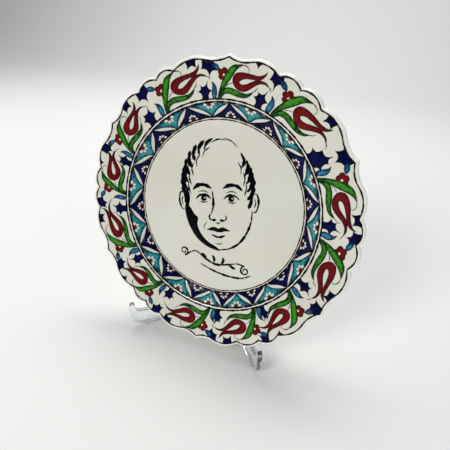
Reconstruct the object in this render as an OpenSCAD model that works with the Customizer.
// Scalloped display plate leaning on a folding clear easel.
// Frame: +Z up, the plate faces -Y, origin on the table under the middle of the whole.
// Plate coordinates, used inside the plate's modules: X right, Y up the dish, Z out of its face,
// with the origin at the middle of the well's painted surface.

/* [Plate] */
// Diameter over the six points of the rim
plate_d = 300; // [296:1:302]
// Height of the rim's edge above the well
rim_rise = 19; // [18:0.5:20]
// Radius of the flat well
well_r = 94; // [92:0.5:95]
// Radius where the curved wall meets the rim
wall_r = 109.5; // [108:0.5:110]
// Height of that corner above the well
wall_rise = 9.7; // [9:0.1:10]
// Thickness of the clay in the well
body_t = 7; // [6:0.5:8]
// Thickness of the rim at its edge
lip_t = 7; // [6:0.5:7.5]
// Outer radius of the foot ring
foot_r = 88; // [86:0.5:90]
// Thickness of the foot ring's wall
foot_t = 8; // [7:0.5:9]
// Height of the foot ring
foot_h = 6; // [5.5:0.5:6.5]
// Radius of the two hanging holes in the foot ring
hang_r = 1.4; // [1.2:0.1:1.6]
// Sideways distance of each hanging hole from the middle
hang_x = 14; // [12:1:18]

/* [Easel] */
// Angle that the plate leans back from upright
lean = 15; // [14:0.5:16]
// Height of the plate's middle above the table
centre_z = 152; // [151:0.5:153]
// Angle of each leg from straight ahead
spread = 40; // [39:0.5:41]
// Distance of the hinge behind the plate's middle
hinge_back = 28; // [27:0.5:29]
// Height of the easel
easel_h = 150; // [140:1:156]
// Thickness of a leg's bead
leg_t = 5; // [4:0.5:5]
// Thickness of a leg's web
web_t = 2.4; // [2:0.2:3]
// Width of the bead
bead_w = 3.4; // [3:0.2:4]
// Width of the slot that the rim stands in, in front of the rim's lowest corner
mouth = 19; // [17:0.5:20]
// Radius of a hinge pin
pin_r = 1.5; // [1.3:0.1:1.6]

/* [Hidden] */

knuckle_r = 4;
toe_s = 123;            // reach of a leg's toe from the hinge
shut_gap = 0.4;         // between the two legs' panels when the easel is folded shut
// The hinge stands so far back that the whole is centred over the origin
hinge_y = (toe_s * cos(spread) - shut_gap / 2 * sin(spread) - knuckle_r) / 2;
centre_y = hinge_y - hinge_back;

// ---- Points and arcs ----
function polar(r, a) = [r * sin(a), r * cos(a)];
function turned(p, a) = [p.x * cos(a) + p.y * sin(a), p.y * cos(a) - p.x * sin(a)];
function heading(v) = atan2(v.y, v.x);
function unit(v) = v / norm(v);
// Points on an arc from a to b degrees, measured from +X
function arc(c, r, a, b, n = 6) =
    [for (i = [0:n]) c + r * [cos(a + (b - a) * i / n), sin(a + (b - a) * i / n)]];
// The meeting point of two circles that lies to the left of the way from the first to the second
function meeting(c1, r1, c2, r2) =
    let (
        run = norm(c2 - c1),
        dir = unit(c2 - c1),
        along = (r1 * r1 - r2 * r2 + run * run) / (2 * run),
        aside = sqrt(r1 * r1 - along * along)
    )
    c1 + along * dir + aside * [-dir.y, dir.x];
// Moves every edge of an anticlockwise outline inwards by d
function inset(p, d) = [
    for (i = [0:len(p) - 1])
        let (
            into = unit(p[i] - p[(i + len(p) - 1) % len(p)]),
            onward = unit(p[(i + 1) % len(p)] - p[i]),
            side = [-into.y - onward.y, into.x + onward.x]
        )
        p[i] + d * 2 * side / (side * side)
];

// ---- Rim outline ----
// Half of each sixth of the rim runs from a point through a hollow, a wide lobe, a notch and
// a small lobe to a shallower notch, and is then mirrored.
tip_r = plate_d / 2;
wide_a = 13.3;          // angle of a wide lobe's crown from its point
wide_arc = 30.7;        // radius of a wide lobe
wide_at = polar(tip_r + 0.5 - wide_arc, wide_a);
small_a = 25.1;         // angle of a small lobe's crown
small_arc = 20.7;       // radius of a small lobe
small_at = polar(tip_r + 0.3 - small_arc, small_a);
hollow_arc = 32;        // radius of the hollow beside a point
tip_at = polar(tip_r, 0);
// The hollow's arc starts at the point and runs smoothly into the wide lobe.
hollow_at = meeting(tip_at, hollow_arc, wide_at, wide_arc + hollow_arc);
notch_at = meeting(wide_at, wide_arc, small_at, small_arc);
end_a = 30 + asin(norm(small_at) * sin(30 - small_a) / small_arc);

half_sixth = concat(
    arc(hollow_at, hollow_arc, heading(tip_at - hollow_at), heading(wide_at - hollow_at), 4),
    arc(wide_at, wide_arc, heading(hollow_at - wide_at) - 2, heading(notch_at - wide_at), 9),
    arc(small_at, small_arc, heading(notch_at - small_at) - 4, 90 - end_a, 7)
);
half_n = len(half_sixth) - 1;
// Clockwise round the rim; the mirrored half leaves out the points that the halves share.
rim_points = [
    for (k = [0:5]) each concat(
        [for (p = half_sixth) turned(p, 60 * k)],
        [for (i = [half_n - 1:-1:1]) turned([-half_sixth[i].x, half_sixth[i].y], 60 * k + 60)]
    )
];

// ---- Plate section, radius against height ----
rim_slope = atan((rim_rise - wall_rise) / (tip_r - wall_r));
wall_slope = 37;
wall_fillet = 9;        // radius of the bend from the well into the wall
face_far = tip_r + 5;   // the section runs past the outline, which then cuts it
far_rise = rim_rise + (face_far - tip_r) * tan(rim_slope);
face = concat(
    [[0, 0]],
    arc([well_r - 1.5, wall_fillet], wall_fillet, -90, wall_slope - 90),
    arc([wall_r + 1.9, wall_rise - 7.2], 8, 90 + wall_slope, 90 + rim_slope),
    [[face_far, far_rise]]
);
back = concat(
    [[face_far, far_rise - lip_t]],
    arc([wall_r + 6, wall_rise - body_t - 5.4], 6, 90 + rim_slope, 90 + wall_slope, 4),
    arc([well_r - 0.5, 9 - body_t], 9, wall_slope - 90, -90, 4),
    [[foot_r, -body_t], [foot_r, -body_t - foot_h], [foot_r - foot_t, -body_t - foot_h],
     [foot_r - foot_t, -body_t], [0, -body_t]]
);

// Moves from plate coordinates to the row frame
module on_easel() {
    translate([0, centre_y, centre_z]) rotate([90 - lean, 0, 0]) children();
}

module hanging_holes() {
    for (x = [-hang_x, hang_x])
        translate([x, foot_r / 2, -body_t - foot_h / 2])
            rotate([-90, 0, 0]) cylinder(r = hang_r, h = foot_r, $fn = 32);
}

module plate_body() {
    color("ivory") on_easel() difference() {
        intersection() {
            rotate_extrude($fn = 180) polygon(concat(face, back));
            translate([0, 0, -body_t - foot_h - 1])
                linear_extrude(rim_rise + body_t + foot_h + 6) polygon(rim_points);
        }
        hanging_holes();
    }
}

// ---- Easel leg, distance s from the hinge against height z ----
gap = 0.4;              // between the plate and whatever it rests on
panel_s = 5.2;          // a panel's back edge, just outside the other leg's knuckles
rest_n = -body_t - foot_h - gap;
seat = [98, 21.8];      // point of the ledge under the rim's lowest corner
ledge_a = atan(tan(lean) * cos(spread));
edge_a = atan(tan(lean) / cos(spread));
wall_s = seat.x - 8;    // back of the slot, behind the rim
hook_s = seat.x + mouth;
tip_z = 37;             // top of the hook
toe_r = 17;
sole_rise = 5;          // height of the arch between toe and heel
corner_r = 4.5;
top_r = 6;
bend_r = 12;

// Distance at which a leg's plane meets the level that lies n in front of the well, at height z
function out_at(n, z) =
    (n + hinge_back * cos(lean) - (z - centre_z) * sin(lean)) / (cos(lean) * cos(spread));
// Height of the ledge at distance s
function ledge_z(s) = seat.y + (s - seat.x) * tan(ledge_a);
// Centre of a corner that touches the ledge from above
function over_ledge(s) = [s, ledge_z(s) + corner_r / cos(ledge_a)];
// Centre at height z of an arc that touches the edge behind the plate, from inside if r is positive
function beside_edge(z, r) = [out_at(rest_n, z + r * sin(edge_a)) - r * cos(edge_a), z];

slot_at = over_ledge(wall_s + corner_r);
wall_at = [wall_s - corner_r, 27];
bend_at = beside_edge(66, -bend_r);
top_at = beside_edge(easel_h - top_r, top_r);
// Direction that the slope between the slot and the bend faces
slope_a = heading(bend_at - wall_at) - acos((corner_r + bend_r) / norm(bend_at - wall_at));

sole = concat(
    [[panel_s, 0], [panel_s + 26, 0], [panel_s + 36, sole_rise], [74, sole_rise], [84, 0]],
    arc([toe_s - toe_r, toe_r], toe_r, -90, 0, 8)
);
hook = concat(
    arc([(toe_s + hook_s) / 2, tip_z - 3], 3, 0, 180, 6),
    arc(over_ledge(hook_s - corner_r), corner_r, 0, ledge_a - 90, 4)
);
rest_edge = concat(
    arc(slot_at, corner_r, ledge_a - 90, -180, 4),
    arc(wall_at, corner_r, 0, slope_a, 3),
    arc(bend_at, bend_r, slope_a + 180, edge_a + 180, 3),
    arc(top_at, top_r, edge_a, 90, 4),
    arc([panel_s + corner_r, easel_h - corner_r], corner_r, 90, 180, 4)
);
leg_outline = concat(sole, hook, rest_edge);
leg_core = concat(sole, [[toe_s, ledge_z(toe_s)]], rest_edge);

module leg_panel() {
    pocket = (leg_t - web_t) / 2;
    difference() {
        linear_extrude(leg_t, center = true) polygon(leg_outline);
        for (z = [web_t / 2, -leg_t / 2 - 1])
            translate([0, 0, z]) linear_extrude(pocket + 1) polygon(inset(leg_core, bead_w));
    }
}

// ---- Hinge, two groups of three knuckles ----
hinge_zs = [14, 106];   // bottom of each group
outer_h = 8;            // an outer knuckle, on the left leg
inner_h = 13.4;         // the middle knuckle, on the right leg
knuckle_gap = 0.3;
group_h = 2 * outer_h + inner_h + 2 * knuckle_gap;
run_gap = 0.05;         // around a pin where a leg turns on it
grip = 0.01;            // by which a pin is thicker than the knuckles that hold it
tab_t = 2.6;            // thickness of the tab that carries a knuckle

// One knuckle with its tab, on the outer side of the plane through the hinge
module knuckle(side, z, h) {
    translate([0, hinge_y, z]) rotate(side * spread - 90) {
        rotate(180) cylinder(r = knuckle_r, h = h, $fn = 48);
        translate([0, side > 0 ? 0.7 : -0.7 - tab_t, 0]) cube([panel_s + 2, tab_t, h]);
    }
}

// A leg, side -1 left and 1 right; its panel stands outside the plane through the hinge
module leg(side, spans, bore_r) {
    difference() {
        union() {
            translate([0, hinge_y, 0]) rotate([90, 0, side * spread - 90])
                translate([0, 0, -side * (shut_gap + leg_t) / 2]) leg_panel();
            for (span = spans) knuckle(side, span[0], span[1]);
        }
        for (z = hinge_zs)
            translate([0, hinge_y, z - 1]) rotate(side * spread + 90)
                cylinder(r = bore_r, h = group_h + 2, $fn = 32);
    }
}

module left_leg() {
    spans = [for (z = hinge_zs) for (up = [0, group_h - outer_h]) [z + up, outer_h]];
    color("aliceblue", 0.4) leg(-1, spans, pin_r - grip);
}

module right_leg() {
    spans = [for (z = hinge_zs) [z + outer_h + knuckle_gap, inner_h]];
    color("aliceblue", 0.4) leg(1, spans, pin_r + run_gap);
}

module hinge_pin(z) {
    color("whitesmoke", 0.5) translate([0, hinge_y, z])
        cylinder(r = pin_r, h = group_h, $fn = 32);
}

module lower_hinge_pin() { hinge_pin(hinge_zs[0]); }
module upper_hinge_pin() { hinge_pin(hinge_zs[1]); }

plate_body();
left_leg();
right_leg();
lower_hinge_pin();
upper_hinge_pin();
